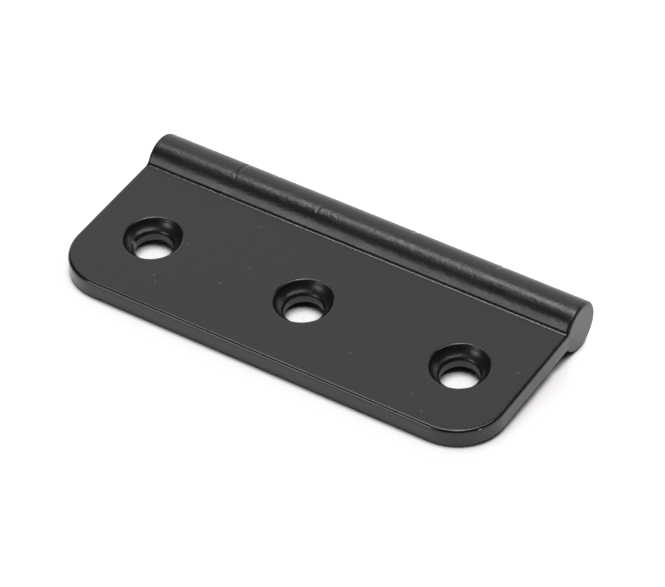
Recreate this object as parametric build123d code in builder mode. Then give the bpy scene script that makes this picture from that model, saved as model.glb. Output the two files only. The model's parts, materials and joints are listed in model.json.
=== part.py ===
"""Dummy butt hinge: one leaf and a solid imitation knuckle in a single piece, drilled for three screws."""
import os
from math import cos, radians, sin

from build123d import *

# Section across the hinge
LEAF_THICKNESS = 3.3
KNUCKLE_DIAMETER = 8.2
KNUCKLE_TO_SCREWS = 17.5  # knuckle's axis to the line of screw holes
SCREWS_TO_FRONT = 12.95  # line of screw holes to the leaf's front edge
CREASE_RADIUS = 1.0  # inside corners where the leaf runs into the knuckle

# Plan of the leaf
LENGTH = 76.2
CORNER_RADIUS = 8.0
EDGE_RADIUS = 0.35  # soft outer edge, all the way round the leaf and the knuckle's ends

# Screw holes, countersunk from the show face
SCREW_COUNT = 3
SCREW_PITCH = 27.5
HOLE_DIAMETER = 6.1
COUNTERSINK_DIAMETER = 9.5
COUNTERSINK_ANGLE = 90.0
MOUTH_RADIUS = 0.25  # worn-in edge of each countersink

# Cut lines that divide the solid knuckle into false ones, from left to right; each runs out in its own place
GROOVE_LEANS = (78.0, 103.0, 46.0, 48.0)  # degrees round the knuckle, from +Y towards +Z, of the deepest point
GROOVE_SPREADS = (38.0, 14.0, 15.0, 18.0)  # degrees each way from the deepest point to the run-out
GROOVE_DEPTHS = (0.14, 0.1, 0.1, 0.15)
GROOVE_NOSE_RADIUS = 0.6
CUTTER_OVERRUN = 12.0  # degrees that the cutter turns on past each run-out

# The origin is on the middle screw hole's axis, at the leaf's back face
KNUCKLE_RADIUS = KNUCKLE_DIAMETER / 2
KNUCKLE_Y = KNUCKLE_TO_SCREWS
KNUCKLE_Z = LEAF_THICKNESS / 2
LEAF_REACH = KNUCKLE_TO_SCREWS + SCREWS_TO_FRONT
LEAF_MIDDLE_Y = KNUCKLE_Y - LEAF_REACH / 2

# The false knuckles are all of one length
KNUCKLE_COUNT = len(GROOVE_LEANS) + 1
GROOVE_PITCH = LENGTH / KNUCKLE_COUNT


def spoke(angle):
    """Direction square to the knuckle's axis, at an angle in degrees from +Y towards +Z."""
    return Vector(0, cos(radians(angle)), sin(radians(angle)))


with BuildPart() as dummy_hinge:
    # Leaf and knuckle share one section, with the leaf centred on the knuckle's axis
    with BuildSketch(Plane.YZ) as section:
        with Locations((LEAF_MIDDLE_Y, LEAF_THICKNESS / 2)):
            Rectangle(LEAF_REACH, LEAF_THICKNESS)
        with Locations((KNUCKLE_Y, KNUCKLE_Z)):
            Circle(KNUCKLE_RADIUS)
        creases = section.vertices().group_by(Axis.X)[1]
        fillet(creases, CREASE_RADIUS)
    extrude(amount=LENGTH / 2, both=True)

    # Round front corners, then one unbroken soft edge round the leaf and over the knuckle's ends
    fillet(dummy_hinge.edges().filter_by(Axis.Z), CORNER_RADIUS)
    lengthwise = dummy_hinge.edges().filter_by(Axis.X)
    upright = dummy_hinge.edges().filter_by(Axis.Z)
    front_edges = lengthwise.group_by(Axis.Y)[0]
    outline = dummy_hinge.edges() - lengthwise - upright + front_edges
    fillet(outline, EDGE_RADIUS)

    # Countersunk screw holes
    with Locations(Plane.XY.offset(LEAF_THICKNESS)):
        with GridLocations(SCREW_PITCH, 0, SCREW_COUNT, 1):
            CounterSinkHole(
                radius=HOLE_DIAMETER / 2,
                counter_sink_radius=COUNTERSINK_DIAMETER / 2,
                counter_sink_angle=COUNTERSINK_ANGLE,
            )
    show_face = dummy_hinge.faces().filter_by(Plane.XY).sort_by(Axis.Z)[-1]
    fillet(show_face.inner_wires().edges(), MOUTH_RADIUS)

    # Shallow round-nosed cut lines, on circles larger than the knuckle and off its centre, so both ends die out
    for groove, (lean, spread, depth) in enumerate(zip(GROOVE_LEANS, GROOVE_SPREADS, GROOVE_DEPTHS)):
        run_out_cosine = cos(radians(spread))
        offset = depth / (1 - run_out_cosine)
        path_radius = KNUCKLE_RADIUS + offset * run_out_cosine + GROOVE_NOSE_RADIUS
        half_turn = spread + CUTTER_OVERRUN
        groove_x = (groove + 1) * GROOVE_PITCH - LENGTH / 2
        centre = Vector(groove_x, KNUCKLE_Y, KNUCKLE_Z) - spoke(lean) * offset
        start_spoke = spoke(lean - half_turn)
        cutter_plane = Plane(origin=centre, x_dir=start_spoke, z_dir=Vector(1, 0, 0).cross(start_spoke))
        with BuildSketch(cutter_plane) as nose:
            with Locations((path_radius, 0)):
                Circle(GROOVE_NOSE_RADIUS)
        revolve(axis=Axis(centre, (1, 0, 0)), revolution_arc=2 * half_turn, mode=Mode.SUBTRACT)

dummy_hinge.part.label = "dummy_hinge"

os.makedirs("parts", exist_ok=True)
export_step(dummy_hinge.part, "parts/dummy_hinge.step")
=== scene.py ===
"""Dummy butt hinge in a satin black coat, lying show face up on a white table."""

import json
from math import asin, atan2, cos, hypot, pi, radians, sin, sqrt, tan

import bmesh
import bpy
from mathutils import Matrix, Quaternion, Vector


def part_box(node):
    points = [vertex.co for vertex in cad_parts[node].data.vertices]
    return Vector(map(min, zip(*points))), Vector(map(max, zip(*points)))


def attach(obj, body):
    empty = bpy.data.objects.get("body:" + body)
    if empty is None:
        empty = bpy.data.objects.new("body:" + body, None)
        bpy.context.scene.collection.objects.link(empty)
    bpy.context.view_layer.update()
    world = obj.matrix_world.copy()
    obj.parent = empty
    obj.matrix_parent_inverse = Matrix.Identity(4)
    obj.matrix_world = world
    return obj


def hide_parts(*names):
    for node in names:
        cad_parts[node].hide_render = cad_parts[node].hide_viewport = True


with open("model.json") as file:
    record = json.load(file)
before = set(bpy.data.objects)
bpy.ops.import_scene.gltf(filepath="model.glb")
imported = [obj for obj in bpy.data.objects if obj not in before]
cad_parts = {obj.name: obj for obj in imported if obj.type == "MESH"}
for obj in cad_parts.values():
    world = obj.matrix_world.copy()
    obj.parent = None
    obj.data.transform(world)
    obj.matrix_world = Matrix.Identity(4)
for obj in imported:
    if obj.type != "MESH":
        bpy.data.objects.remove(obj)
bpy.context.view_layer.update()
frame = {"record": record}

MM = 0.001
NODE = "dummy_hinge"
BODY = "root"
SLOT = "black_coat"
X_AXIS = Vector((1, 0, 0))
Y_AXIS = Vector((0, 1, 0))
Z_AXIS = Vector((0, 0, 1))

# Main sizes, read from the frame; the leaf's back face is at z = 0 and its middle on the knuckle's axis
LOW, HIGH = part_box(NODE)
HALF_LENGTH = (HIGH.x - LOW.x) / 2
FRONT_Y = LOW.y
KNUCKLE_RADIUS = (HIGH.z - LOW.z) / 2
KNUCKLE_Y = HIGH.y - KNUCKLE_RADIUS
KNUCKLE_Z = (HIGH.z + LOW.z) / 2
LEAF_THICKNESS = 2 * KNUCKLE_Z
SCREW_HOLES = [mount for mount in frame["record"]["mounts"] if mount["kind"] == "bore"]
SCREW_Y = SCREW_HOLES[0]["pos_m"][1]
SCREW_PITCH = SCREW_HOLES[1]["pos_m"][0] - SCREW_HOLES[0]["pos_m"][0]

# Rounded corners and edges
CORNER_RADIUS = 8.0 * MM
EDGE_RADIUS = 0.55 * MM
CREASE_RADIUS = 1.0 * MM
MOUTH_RADIUS = 0.45 * MM
BACK_RIM_RADIUS = 0.15 * MM
LIP_RADIUS = 0.85 * MM  # edge between each bore and its countersink
MOUTH_COAT = 0.14 * MM  # how far the coat narrows each countersink's mouth
COUNTERSINK_SLOPE = radians(49)  # middle of the wall, between the two rounded edges
DISH_TURN = radians(37)  # hollow of each countersink's wall, as the turn of its slope from lip to mouth

# Cut lines across the knuckle, from left to right
GROOVE_LEANS = (radians(78), radians(103), radians(46), radians(48))
GROOVE_SPREADS = (radians(38), radians(14), radians(22), radians(28))
GROOVE_DEPTHS = (0.14 * MM, 0.1 * MM, 0.2 * MM, 0.28 * MM)
GROOVE_NOSE_RADII = (0.6 * MM, 0.6 * MM, 0.4 * MM, 0.3 * MM)
GROOVE_REACH = 0.55 * MM  # each way along the knuckle from a cut line's middle
GROOVE_SOFTNESS = 0.015 * MM  # coat drawn round a cut line's edges

# Fineness of the mesh
KNUCKLE_STEPS = 128
CREASE_STEPS = 10
CORNER_STEPS = 32
EDGE_STEPS = 6
LIP_STEPS = 6
DISH_STEPS = 10
HOLE_STEPS = 96
GROOVE_STEPS = 24
BRACE = 0.15 * MM  # narrow flat strip beside each rounded edge, which keeps the flats flat
ROUND_PROFILE = 0.5  # profile that makes a rounded edge an arc of a circle
SHARP = radians(60)  # least turn at an edge that is rounded
FLAT = radians(0.6)  # most that a straight face leans
TINY = 0.0001 * MM  # closer than this is the same place

# Where the leaf's faces run into the knuckle
CREASE_RISE = LEAF_THICKNESS / 2 + CREASE_RADIUS
CREASE_RUN = sqrt((KNUCKLE_RADIUS + CREASE_RADIUS) ** 2 - CREASE_RISE ** 2)
CREASE_Y = KNUCKLE_Y - CREASE_RUN
CREASE_SLOPE = atan2(CREASE_RISE, CREASE_RUN)

# The table touches the knuckle and the leaf's front lower edge
REST_RUN = KNUCKLE_Y - FRONT_Y - EDGE_RADIUS
REST_RISE = KNUCKLE_Z - EDGE_RADIUS
TABLE_TILT = asin((KNUCKLE_RADIUS - EDGE_RADIUS) / hypot(REST_RUN, REST_RISE)) - atan2(REST_RISE, REST_RUN)
TABLE_NORMAL = Vector((0, sin(TABLE_TILT), cos(TABLE_TILT)))
TABLE_PLACE = Vector((0, KNUCKLE_Y, KNUCKLE_Z)) - KNUCKLE_RADIUS * TABLE_NORMAL
TABLE_SIZE = 6.0
TABLE_COLOUR = (0.5, 0.5, 0.5, 1)
TABLE_LIFT = (0.58, 0.92)  # glow of the open table in front of the knuckle and behind it; the stronger glow behind is a painted brighter patch that the hinge's ends reflect
TABLE_LIFT_SPAN = (8 * MM, 22 * MM)  # y where the first ends and the second is reached
TABLE_LIFT_REACH = 4.0 * MM  # how far round a place its openness is judged
TABLE_LIFT_EDGE = (0.42, 0.62)  # openness at which the lift sets in and is full; below it the table keeps a painted shade beside the hinge
TABLE_LIFT_COLOUR = (1, 0.96, 0.97, 1)

# Coat
COAT_DARK = (0.005, 0.005, 0.0054, 1)
COAT_LIGHT = (0.0085, 0.0085, 0.009, 1)
BARE_METAL = (0.75, 0.72, 0.66, 1)
COAT_IOR = 1.55
TONE_SCALE = 0.6 / MM
TONE_DETAIL = 4
KNUCKLE_COAT_EDGE = (13.4 * MM, 14.2 * MM)  # y where the leaf's coat turns into the knuckle's rougher one
SINK_COAT_EDGE = (4.7 * MM, 4.5 * MM)  # from a screw's axis, where it turns into the countersink's duller one
LEAF_ROUGHNESS = (0.2, 0.26)
KNUCKLE_ROUGHNESS = 0.1  # on top of the leaf's
SINK_ROUGHNESS = 0.1  # on top of the leaf's
CLOUD_SCALE = 0.25 / MM  # patches of smoother and rougher coat
CLOUD_DETAIL = 3
CLOUD_RANGE = (0.3, 0.7)
PEEL_SCALE = 1.1 / MM
PEEL_DETAIL = 1
PEEL_HEIGHT = 0.02 * MM
GRAIN_SCALE = 2.2 / MM
GRAIN_DETAIL = 2
GRAIN_HEIGHT = 0.03 * MM
LEAF_GRAIN = 0.25  # share of the knuckle's grain
# pale colour of the dust nibs, partly dust and partly a painted highlight on each nib
DUST_AND_HIGHLIGHT = (0.05, 0.05, 0.048, 1)
SPECK_RADIUS = 0.26 * MM
SPECKS = (  # dust nibs in the coat of the show face, painted pale as the highlight each raised nib catches, x and y in mm
    (-22.6, -6.6),
    (-21.6, -7.9),
    (-21.9, 1.6),
    (-14.6, 10.4),
    (-12.9, -3.1),
    (-10.8, 1.9),
    (12.1, -5.9),
    (24.6, -8.5),
    (27.6, -10.8),
    (35.7, 3.1),
)
NOISE_MIDDLE = (0.5, 0.5, 0.5)  # mean colour of a cloudy pattern
SPOT_CORE = 0.5  # share of a spot's radius that is at full strength
CHIP_SCALE = 2.5 / MM
CHIP_DRIFT = 0.5 * MM
BARE_MARKS = (  # middle and radius
    (Vector((-30.4, -0.9, 1.3)) * MM, 0.6 * MM),
    (Vector((36.7, -9.4, 3.0)) * MM, 0.16 * MM),
)
MIX_FIRST = 6  # sockets of a mix of colours, behind those for numbers and vectors
MIX_SECOND = 7
MIX_RESULT = 2

# Studio
BACKDROP_DIRECTION = Vector((-0.3, 0.95, 0)).normalized()
BACKDROP_EDGE = (0.4, 0.65)  # cosines from that direction where the room ends and the backdrop is full
BACKDROP_TONE = 0.98
ROOM_TONE = 0.03
ROOM_COLOUR = (0.98, 0.97, 1.04, 1)
SOFTBOXES = (  # name, place, point that it faces, turn, width, height, radiance
    ("left_softbox", (-0.15, 0.085, 0.8), (-0.15, 0.085, 0), radians(-16), 0.6, 0.17, 10.0),
    ("right_softbox", (0.28, 0.03, 0.8), (0.28, 0.03, 0), radians(54), 0.7, 0.22, 5.2),
    ("front_softbox", (-0.33, -0.66, 0.3), (0, 0, 0), 0, 0.3, 0.36, 4.2),
)

# Camera
CAMERA_AZIMUTH = radians(34.88)
CAMERA_ELEVATION = radians(43.63)
CAMERA_ROLL = radians(3.17)
CAMERA_AIM = Vector((3.02, 3.525, 3.31)) * MM
CAMERA_DISTANCE = 577.9 * MM
CAMERA_LENS = 207.98


def line_to(bm, vert, place):
    """Carries a drawn line straight on to a place."""
    end = bmesh.ops.extrude_vert_indiv(bm, verts=[vert])["verts"][0]
    end.co = place
    return end


def arc_on(bm, vert, centre, axis, angle, steps):
    """Carries a drawn line on round an arc."""
    turned = bmesh.ops.spin(
        bm, geom=[vert], cent=centre, axis=axis, angle=angle, steps=steps, use_duplicate=False
    )
    return turned["geom_last"][0]


def draw_section(bm):
    """One closed line round the section of leaf and knuckle, at the left end."""
    x = -HALF_LENGTH
    crease_turn = pi / 2 - CREASE_SLOPE
    first = bm.verts.new((x, FRONT_Y, LEAF_THICKNESS))
    last = line_to(bm, first, (x, CREASE_Y, LEAF_THICKNESS))
    last = arc_on(bm, last, (x, CREASE_Y, LEAF_THICKNESS + CREASE_RADIUS), X_AXIS, crease_turn, CREASE_STEPS)
    last = arc_on(bm, last, (x, KNUCKLE_Y, KNUCKLE_Z), X_AXIS, 2 * (CREASE_SLOPE - pi), KNUCKLE_STEPS)
    last = arc_on(bm, last, (x, CREASE_Y, -CREASE_RADIUS), X_AXIS, crease_turn, CREASE_STEPS)
    last = line_to(bm, last, (x, FRONT_Y, 0))
    bm.edges.new((last, first))


def draw_out(bm):
    """Draws the section out to the full length and closes both ends."""
    drawn = bmesh.ops.extrude_edge_only(bm, edges=list(bm.edges))["geom"]
    far_end = [part for part in drawn if isinstance(part, bmesh.types.BMVert)]
    bmesh.ops.translate(bm, verts=far_end, vec=2 * HALF_LENGTH * X_AXIS)
    bmesh.ops.holes_fill(bm, edges=list(bm.edges), sides=0)
    bmesh.ops.recalc_face_normals(bm, faces=list(bm.faces))


def round_edges(bm, edges, radius, steps):
    """Rounds edges that stand square."""
    bmesh.ops.bevel(
        bm, geom=edges, offset=radius, offset_type="OFFSET", affect="EDGES", segments=steps,
        profile=ROUND_PROFILE, material=-1, clamp_overlap=False,
    )
    bm.normal_update()


def round_corners(bm):
    """Rounds the leaf's two front corners in plan."""
    uprights = []
    for edge in bm.edges:
        start, end = edge.verts
        if abs(start.co.z - end.co.z) > LEAF_THICKNESS / 2 and max(start.co.y, end.co.y) < FRONT_Y + TINY:
            uprights.append(edge)
    round_edges(bm, uprights, CORNER_RADIUS, CORNER_STEPS)


def soften_outline(bm):
    """One unbroken soft edge round the leaf and over both ends of the knuckle."""
    outline = [edge for edge in bm.edges if edge.calc_face_angle() > SHARP]
    round_edges(bm, outline, EDGE_RADIUS, EDGE_STEPS)


def cut_across(bm, faces, places, normal):
    """Adds a line of vertices across some faces at each place."""
    edges = {edge for face in faces for edge in face.edges}
    verts = {vert for face in faces for vert in face.verts}
    geom = [*verts, *edges, *faces]
    for place in places:
        cut = bmesh.ops.bisect_plane(bm, geom=geom, dist=TINY, plane_co=place * normal, plane_no=normal)
        geom = cut["geom"]
    bm.normal_update()


def groove_places():
    """Where along the knuckle the cut lines are."""
    pitch = 2 * HALF_LENGTH / (len(GROOVE_LEANS) + 1)
    return [(groove + 1) * pitch - HALF_LENGTH for groove in range(len(GROOVE_LEANS))]


def brace_curves(bm):
    """Lines beside the rounded ends of the long curved faces, and closely spaced ones along the cut lines."""
    end_brace = HALF_LENGTH - EDGE_RADIUS - BRACE
    rings = [-end_brace, end_brace]
    for groove_x in groove_places():
        for step in range(GROOVE_STEPS + 1):
            rings.append(groove_x + GROOVE_REACH * (2 * step / GROOVE_STEPS - 1))
    barrel = []
    for face in bm.faces:
        if abs(face.normal.x) < FLAT and face.calc_center_median().y > CREASE_Y:
            barrel.append(face)
    cut_across(bm, barrel, rings, X_AXIS)

    corner_brace = HALF_LENGTH - CORNER_RADIUS - BRACE
    front = []
    for face in bm.faces:
        if abs(face.normal.x) < FLAT and face.calc_center_median().y < FRONT_Y + EDGE_RADIUS:
            front.append(face)
    cut_across(bm, front, [-corner_brace, corner_brace], X_AXIS)

    ends = []
    for face in bm.faces:
        if abs(face.normal.y) < FLAT and abs(face.calc_center_median().x) > HALF_LENGTH - EDGE_RADIUS:
            ends.append(face)
    cut_across(bm, ends, [FRONT_Y + CORNER_RADIUS + BRACE, SCREW_Y, CREASE_Y - BRACE], Y_AXIS)


def brace_flats(bm):
    """A narrow strip inside the border of the upright walls and of the leaf's two faces, left open."""
    walls = []
    leaf_faces = []
    for face in bm.faces:
        place = face.calc_center_median()
        upright = abs(face.normal.z) < FLAT
        if upright and (abs(face.normal.x) > cos(FLAT) or place.y < FRONT_Y + CORNER_RADIUS):
            walls.append(face)
        elif abs(face.normal.z) > cos(FLAT) and place.y < CREASE_Y:
            leaf_faces.append(face)
    bmesh.ops.inset_region(bm, faces=walls, thickness=BRACE, use_boundary=True, use_even_offset=True)
    bmesh.ops.inset_individual(bm, faces=leaf_faces, thickness=BRACE, use_even_offset=True)
    bmesh.ops.delete(bm, geom=leaf_faces, context="FACES_ONLY")


def sink_hole(bm, hole):
    """Bore and countersink, turned about the screw's axis from a line drawn up the wall."""
    centre = Vector(hole["pos_m"])
    bore_radius = hole["dims"]["r_mm"] * MM
    bore_top = hole["dims"]["length_mm"] * MM
    # The solid's cone is one of 90 degrees, which opens as far as it rises
    mouth_radius = bore_radius + LEAF_THICKNESS - bore_top - MOUTH_COAT
    lip_slope = COUNTERSINK_SLOPE - DISH_TURN / 2
    mouth_slope = COUNTERSINK_SLOPE + DISH_TURN / 2
    lip_turn = pi / 2 - lip_slope
    lip_run = LIP_RADIUS * tan(lip_turn / 2)
    mouth_run = MOUTH_RADIUS * tan(mouth_slope / 2)

    def at(radius, z):
        return Vector((centre.x + radius, centre.y, z))

    drawn_before = set(bm.edges)
    first = bm.verts.new(at(bore_radius + BACK_RIM_RADIUS + BRACE, 0))
    last = line_to(bm, first, at(bore_radius + BACK_RIM_RADIUS, 0))
    last = arc_on(bm, last, at(bore_radius + BACK_RIM_RADIUS, BACK_RIM_RADIUS), Y_AXIS, pi / 2, LIP_STEPS)
    last = line_to(bm, last, at(bore_radius, BACK_RIM_RADIUS + BRACE))
    last = line_to(bm, last, at(bore_radius, bore_top - lip_run - BRACE))
    last = line_to(bm, last, at(bore_radius, bore_top - lip_run))
    last = arc_on(bm, last, at(bore_radius + LIP_RADIUS, bore_top - lip_run), Y_AXIS, lip_turn, LIP_STEPS)
    wall_start = last.co.copy()
    wall_end = at(mouth_radius - mouth_run * cos(mouth_slope), LEAF_THICKNESS - mouth_run * sin(mouth_slope))
    chord = wall_end - wall_start
    across = chord.cross(Y_AXIS).normalized()
    dish_centre = (wall_start + wall_end) / 2 + across * chord.length / 2 / tan(DISH_TURN / 2)
    last = arc_on(bm, last, dish_centre, Y_AXIS, -DISH_TURN, DISH_STEPS)
    mouth_centre = at(mouth_radius + mouth_run, LEAF_THICKNESS - MOUTH_RADIUS)
    last = arc_on(bm, last, mouth_centre, Y_AXIS, mouth_slope, LIP_STEPS)
    line_to(bm, last, at(mouth_radius + mouth_run + BRACE, LEAF_THICKNESS))
    wall = [edge for edge in bm.edges if edge not in drawn_before]
    wall_verts = {vert for edge in wall for vert in edge.verts}
    bmesh.ops.spin(
        bm, geom=[*wall_verts, *wall], cent=centre, axis=Z_AXIS, angle=2 * pi, steps=HOLE_STEPS,
        use_merge=True, use_duplicate=False,
    )


def fill_leaf_face(bm, z):
    """Closes one face of the leaf, in two halves that meet along the line of screw holes."""
    border = []
    for edge in bm.edges:
        if edge.is_boundary and all(abs(vert.co.z - z) < TINY for vert in edge.verts):
            border.append(edge)
    on_line = {vert for edge in border for vert in edge.verts if abs(vert.co.y - SCREW_Y) < TINY}
    on_line = sorted(on_line, key=lambda vert: vert.co.x)
    links = [bm.edges.new(pair) for pair in zip(on_line[0::2], on_line[1::2])]
    back = [edge for edge in border if sum(vert.co.y - SCREW_Y for vert in edge.verts) > 0]
    front = [edge for edge in border if edge not in back]
    for half in (back, front):
        leaf_half = bmesh.ops.contextual_create(bm, geom=half + links)["faces"]
        bmesh.ops.triangulate(bm, faces=leaf_half)


def press_grooves(bm):
    """Presses each cut line into the knuckle, deepest at its lean and dying out at both ends."""
    grooves = zip(groove_places(), GROOVE_LEANS, GROOVE_SPREADS, GROOVE_DEPTHS, GROOVE_NOSE_RADII)
    for groove_x, lean, spread, full_depth, nose_radius in grooves:
        run_out = cos(spread)
        for vert in bm.verts:
            along = vert.co.x - groove_x
            spoke = Vector((0, vert.co.y - KNUCKLE_Y, vert.co.z - KNUCKLE_Z))
            if abs(along) > GROOVE_REACH + TINY or abs(spoke.length - KNUCKLE_RADIUS) > TINY:
                continue
            round_angle = atan2(spoke.z, spoke.y)
            depth = full_depth * (cos(round_angle - lean) - run_out) / (1 - run_out)
            # A shallow round nose, with a soft edge where it leaves the metal
            cut = depth - along ** 2 / (2 * nose_radius)
            vert.co -= spoke.normalized() * (cut + hypot(cut, GROOVE_SOFTNESS)) / 2


def hinge_mesh():
    """The whole hinge as one closed skin."""
    bm = bmesh.new()
    draw_section(bm)
    draw_out(bm)
    round_corners(bm)
    soften_outline(bm)
    brace_curves(bm)
    brace_flats(bm)
    for hole in SCREW_HOLES:
        sink_hole(bm, hole)
    fill_leaf_face(bm, LEAF_THICKNESS)
    fill_leaf_face(bm, 0)
    press_grooves(bm)
    bmesh.ops.remove_doubles(bm, verts=list(bm.verts), dist=TINY)
    bmesh.ops.recalc_face_normals(bm, faces=list(bm.faces))
    for face in bm.faces:
        face.smooth = True
    mesh = bpy.data.meshes.new("coated_hinge")
    bm.to_mesh(mesh)
    bm.free()
    return mesh


def new_material(name):
    """Empty node material with its output."""
    material = bpy.data.materials.new(name)
    material.use_nodes = True
    material.node_tree.nodes.clear()
    output = material.node_tree.nodes.new("ShaderNodeOutputMaterial")
    return material, material.node_tree, output


def noise(tree, place, scale, detail):
    """Cloudy pattern in the object's own space."""
    node = tree.nodes.new("ShaderNodeTexNoise")
    node.inputs["Scale"].default_value = scale
    node.inputs["Detail"].default_value = detail
    tree.links.new(place, node.inputs["Vector"])
    return node.outputs["Fac"]


def ranged(tree, value, start, end, to_start, to_end):
    """A value eased from one range into another."""
    node = tree.nodes.new("ShaderNodeMapRange")
    node.interpolation_type = "SMOOTHSTEP"
    node.inputs["From Min"].default_value = start
    node.inputs["From Max"].default_value = end
    node.inputs["To Min"].default_value = to_start
    node.inputs["To Max"].default_value = to_end
    tree.links.new(value, node.inputs["Value"])
    return node.outputs["Result"]


def combined(tree, operation, first, second):
    """Two values put together."""
    node = tree.nodes.new("ShaderNodeMath")
    node.operation = operation
    tree.links.new(first, node.inputs[0])
    tree.links.new(second, node.inputs[1])
    return node.outputs["Value"]


def raised(tree, height, distance, ground):
    """Relief on top of the relief so far."""
    node = tree.nodes.new("ShaderNodeBump")
    node.inputs["Distance"].default_value = distance
    tree.links.new(height, node.inputs["Height"])
    if ground is not None:
        tree.links.new(ground, node.inputs["Normal"])
    return node.outputs["Normal"]


def blended(tree, factor, first, second):
    """One colour that gives way to another; the first may be linked."""
    node = tree.nodes.new("ShaderNodeMix")
    node.data_type = "RGBA"
    tree.links.new(factor, node.inputs["Factor"])
    if isinstance(first, tuple):
        node.inputs[MIX_FIRST].default_value = first
    else:
        tree.links.new(first, node.inputs[MIX_FIRST])
    node.inputs[MIX_SECOND].default_value = second
    return node.outputs[MIX_RESULT]


def spots(tree, place, centres_and_radii):
    """Round spots that fade out at their radii."""
    together = None
    for centre, radius in centres_and_radii:
        away = tree.nodes.new("ShaderNodeVectorMath")
        away.operation = "DISTANCE"
        tree.links.new(place, away.inputs[0])
        away.inputs[1].default_value = centre
        spot = ranged(tree, away.outputs["Value"], radius, SPOT_CORE * radius, 0, 1)
        together = spot if together is None else combined(tree, "MAXIMUM", together, spot)
    return together


def ragged(tree, place):
    """Places shifted a little each way at random, which frays the edges of what is drawn there."""
    chips = tree.nodes.new("ShaderNodeTexNoise")
    chips.inputs["Scale"].default_value = CHIP_SCALE
    tree.links.new(place, chips.inputs["Vector"])
    centred = tree.nodes.new("ShaderNodeVectorMath")
    centred.operation = "SUBTRACT"
    tree.links.new(chips.outputs["Color"], centred.inputs[0])
    centred.inputs[1].default_value = NOISE_MIDDLE
    shifted = tree.nodes.new("ShaderNodeVectorMath")
    shifted.operation = "MULTIPLY_ADD"
    tree.links.new(centred.outputs["Vector"], shifted.inputs[0])
    shifted.inputs[1].default_value = (CHIP_DRIFT, CHIP_DRIFT, CHIP_DRIFT)
    tree.links.new(place, shifted.inputs[2])
    return shifted.outputs["Vector"]


def from_screw_axis(tree, place):
    """Distance from the axis of the nearest screw hole."""
    nearest = tree.nodes.new("ShaderNodeVectorMath")
    nearest.operation = "WRAP"
    tree.links.new(place, nearest.inputs[0])
    nearest.inputs[1].default_value = (SCREW_PITCH / 2, HALF_LENGTH, HALF_LENGTH)
    nearest.inputs[2].default_value = (-SCREW_PITCH / 2, -HALF_LENGTH, -HALF_LENGTH)
    level = tree.nodes.new("ShaderNodeVectorMath")
    level.operation = "MULTIPLY"
    tree.links.new(nearest.outputs["Vector"], level.inputs[0])
    level.inputs[1].default_value = X_AXIS + Y_AXIS
    away = tree.nodes.new("ShaderNodeVectorMath")
    away.operation = "LENGTH"
    tree.links.new(level.outputs["Vector"], away.inputs[0])
    return away.outputs["Value"]


def satin_black_coat():
    """Satin black powder coat with a fine grain, a faint orange peel, pale specks for dust nibs with their
    highlights painted in, and bare marks.
    """
    material, tree, output = new_material(SLOT)
    nodes = tree.nodes
    links = tree.links
    place = nodes.new("ShaderNodeTexCoord").outputs["Object"]
    shader = nodes.new("ShaderNodeBsdfPrincipled")
    shader.inputs["IOR"].default_value = COAT_IOR
    links.new(shader.outputs["BSDF"], output.inputs["Surface"])

    parts = nodes.new("ShaderNodeSeparateXYZ")
    links.new(place, parts.inputs["Vector"])
    across = parts.outputs["Y"]
    roughness = ranged(tree, noise(tree, place, CLOUD_SCALE, CLOUD_DETAIL), *CLOUD_RANGE, *LEAF_ROUGHNESS)
    on_knuckle = ranged(tree, across, *KNUCKLE_COAT_EDGE, 0, KNUCKLE_ROUGHNESS)
    in_sinks = ranged(tree, from_screw_axis(tree, place), *SINK_COAT_EDGE, 0, SINK_ROUGHNESS)
    roughness = combined(tree, "ADD", roughness, on_knuckle)
    links.new(combined(tree, "ADD", roughness, in_sinks), shader.inputs["Roughness"])

    tone = blended(tree, noise(tree, place, TONE_SCALE, TONE_DETAIL), COAT_DARK, COAT_LIGHT)
    # pale spots for the dust nibs in the coat, each a painted highlight on a raised nib
    specks = [(Vector((x * MM, y * MM, LEAF_THICKNESS)), SPECK_RADIUS) for x, y in SPECKS]
    tone = blended(tree, spots(tree, place, specks), tone, DUST_AND_HIGHLIGHT)
    bare = spots(tree, ragged(tree, place), BARE_MARKS)
    links.new(blended(tree, bare, tone, BARE_METAL), shader.inputs["Base Color"])
    links.new(bare, shader.inputs["Metallic"])

    relief = raised(tree, noise(tree, place, PEEL_SCALE, PEEL_DETAIL), PEEL_HEIGHT, None)
    grain = noise(tree, place, GRAIN_SCALE, GRAIN_DETAIL)
    grain = combined(tree, "MULTIPLY", grain, ranged(tree, across, *KNUCKLE_COAT_EDGE, LEAF_GRAIN, 1))
    links.new(raised(tree, grain, GRAIN_HEIGHT, relief), shader.inputs["Normal"])
    return material


def make_hinge():
    """The finished hinge, in place of the plain solid."""
    hinge = bpy.data.objects.new("coated_hinge", hinge_mesh())
    bpy.context.scene.collection.objects.link(hinge)
    hinge.data.materials.append(satin_black_coat())
    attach(hinge, BODY)
    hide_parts(NODE)


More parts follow.
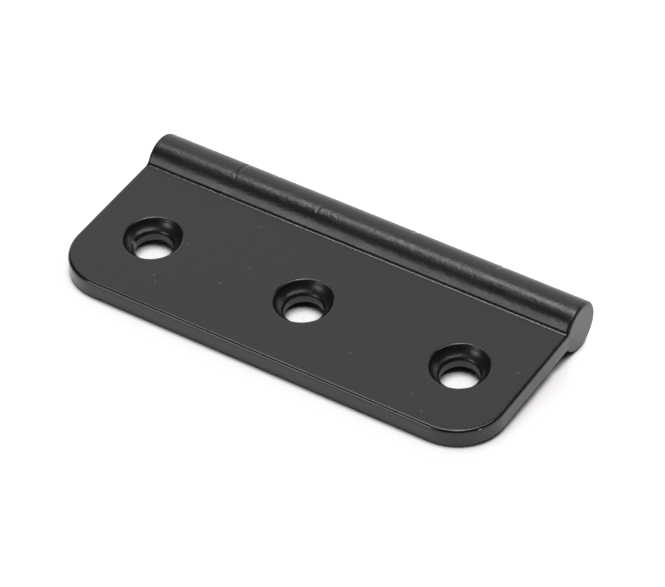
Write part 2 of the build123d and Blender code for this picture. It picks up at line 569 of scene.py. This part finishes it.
def white_table_top():
    """Matt white paper, lifted to plain white where it lies open. Ambient occlusion holds the glow back
    beside the hinge, which paints shade there, and the glow is painted brighter behind the knuckle.
    """
    material, tree, output = new_material("white_table_top")
    nodes = tree.nodes
    links = tree.links
    matt = nodes.new("ShaderNodeBsdfDiffuse")
    matt.inputs["Color"].default_value = TABLE_COLOUR
    rays = nodes.new("ShaderNodeLightPath")
    looked_at = combined(tree, "ADD", rays.outputs["Is Camera Ray"], rays.outputs["Is Glossy Ray"])
    looked_at = combined(tree, "ADD", looked_at, rays.outputs["Is Transmission Ray"])
    # ambient occlusion holds the glow back beside the hinge, which paints shade there
    openness = nodes.new("ShaderNodeAmbientOcclusion")
    openness.inputs["Distance"].default_value = TABLE_LIFT_REACH
    lifted = ranged(tree, openness.outputs["AO"], *TABLE_LIFT_EDGE, 0, 1)
    place = nodes.new("ShaderNodeSeparateXYZ")
    links.new(nodes.new("ShaderNodeTexCoord").outputs["Object"], place.inputs["Vector"])
    # the glow rises behind the knuckle, a painted brighter patch seen in the hinge's reflections
    strength = ranged(tree, place.outputs["Y"], *TABLE_LIFT_SPAN, *TABLE_LIFT)
    strength = combined(tree, "MULTIPLY", strength, lifted)
    lift = nodes.new("ShaderNodeEmission")
    lift.inputs["Color"].default_value = TABLE_LIFT_COLOUR
    links.new(combined(tree, "MULTIPLY", strength, looked_at), lift.inputs["Strength"])
    both = nodes.new("ShaderNodeAddShader")
    links.new(matt.outputs["BSDF"], both.inputs[0])
    links.new(lift.outputs["Emission"], both.inputs[1])
    links.new(both.outputs["Shader"], output.inputs["Surface"])
    return material


def lay_table():
    """White table top under the hinge's two lines of contact."""
    bm = bmesh.new()
    turn = Z_AXIS.rotation_difference(TABLE_NORMAL).to_matrix().to_4x4()
    bmesh.ops.create_grid(
        bm, x_segments=1, y_segments=1, size=TABLE_SIZE / 2, matrix=Matrix.Translation(TABLE_PLACE) @ turn
    )
    mesh = bpy.data.meshes.new("table_top")
    bm.to_mesh(mesh)
    bm.free()
    mesh.materials.append(white_table_top())
    table = bpy.data.objects.new("table_top", mesh)
    bpy.context.scene.collection.objects.link(table)


def hang_light(name, place, aim, turn, width, height, radiance):
    """Rectangular soft light that faces a point, turned about the line to it."""
    lamp = bpy.data.lights.new(name, "AREA")
    lamp.shape = "RECTANGLE"
    lamp.size = width
    lamp.size_y = height
    lamp.energy = radiance * pi * width * height
    light = bpy.data.objects.new(name, lamp)
    light.location = place
    facing = (aim - place).to_track_quat("-Z", "Y")
    light.rotation_euler = (facing @ Quaternion(Z_AXIS, turn)).to_euler()
    bpy.context.scene.collection.objects.link(light)


def light_studio():
    """Two overhead softboxes, a low one at the front left, and a dim room with a pale backdrop."""
    for name, place, aim, turn, width, height, radiance in SOFTBOXES:
        hang_light(name, Vector(place), Vector(aim), turn, width, height, radiance)
    world = bpy.data.worlds.new("dim_room")
    world.use_nodes = True
    tree = world.node_tree
    nodes = tree.nodes
    links = tree.links
    background = nodes["Background"]
    background.inputs["Color"].default_value = ROOM_COLOUR
    behind = nodes.new("ShaderNodeVectorMath")
    behind.operation = "DOT_PRODUCT"
    behind.inputs[1].default_value = BACKDROP_DIRECTION
    links.new(nodes.new("ShaderNodeTexCoord").outputs["Generated"], behind.inputs[0])
    tone = ranged(tree, behind.outputs["Value"], *BACKDROP_EDGE, ROOM_TONE, BACKDROP_TONE)
    links.new(tone, background.inputs["Strength"])
    bpy.context.scene.world = world


def set_camera():
    """Long lens at the photograph's place, a little rolled."""
    back = Vector((
        sin(CAMERA_AZIMUTH) * cos(CAMERA_ELEVATION),
        -cos(CAMERA_AZIMUTH) * cos(CAMERA_ELEVATION),
        sin(CAMERA_ELEVATION),
    ))
    camera = bpy.data.objects.new("photo_camera", bpy.data.cameras.new("photo_camera"))
    camera.data.lens = CAMERA_LENS
    camera.data.sensor_fit = "HORIZONTAL"
    camera.location = CAMERA_AIM + CAMERA_DISTANCE * back
    level = (-back).to_track_quat("-Z", "Y")
    camera.rotation_euler = (level @ Quaternion(Z_AXIS, -CAMERA_ROLL)).to_euler()
    bpy.context.scene.collection.objects.link(camera)
    bpy.context.scene.camera = camera


make_hinge()
lay_table()
light_studio()
set_camera()
bpy.context.scene.view_settings.view_transform = "Standard"
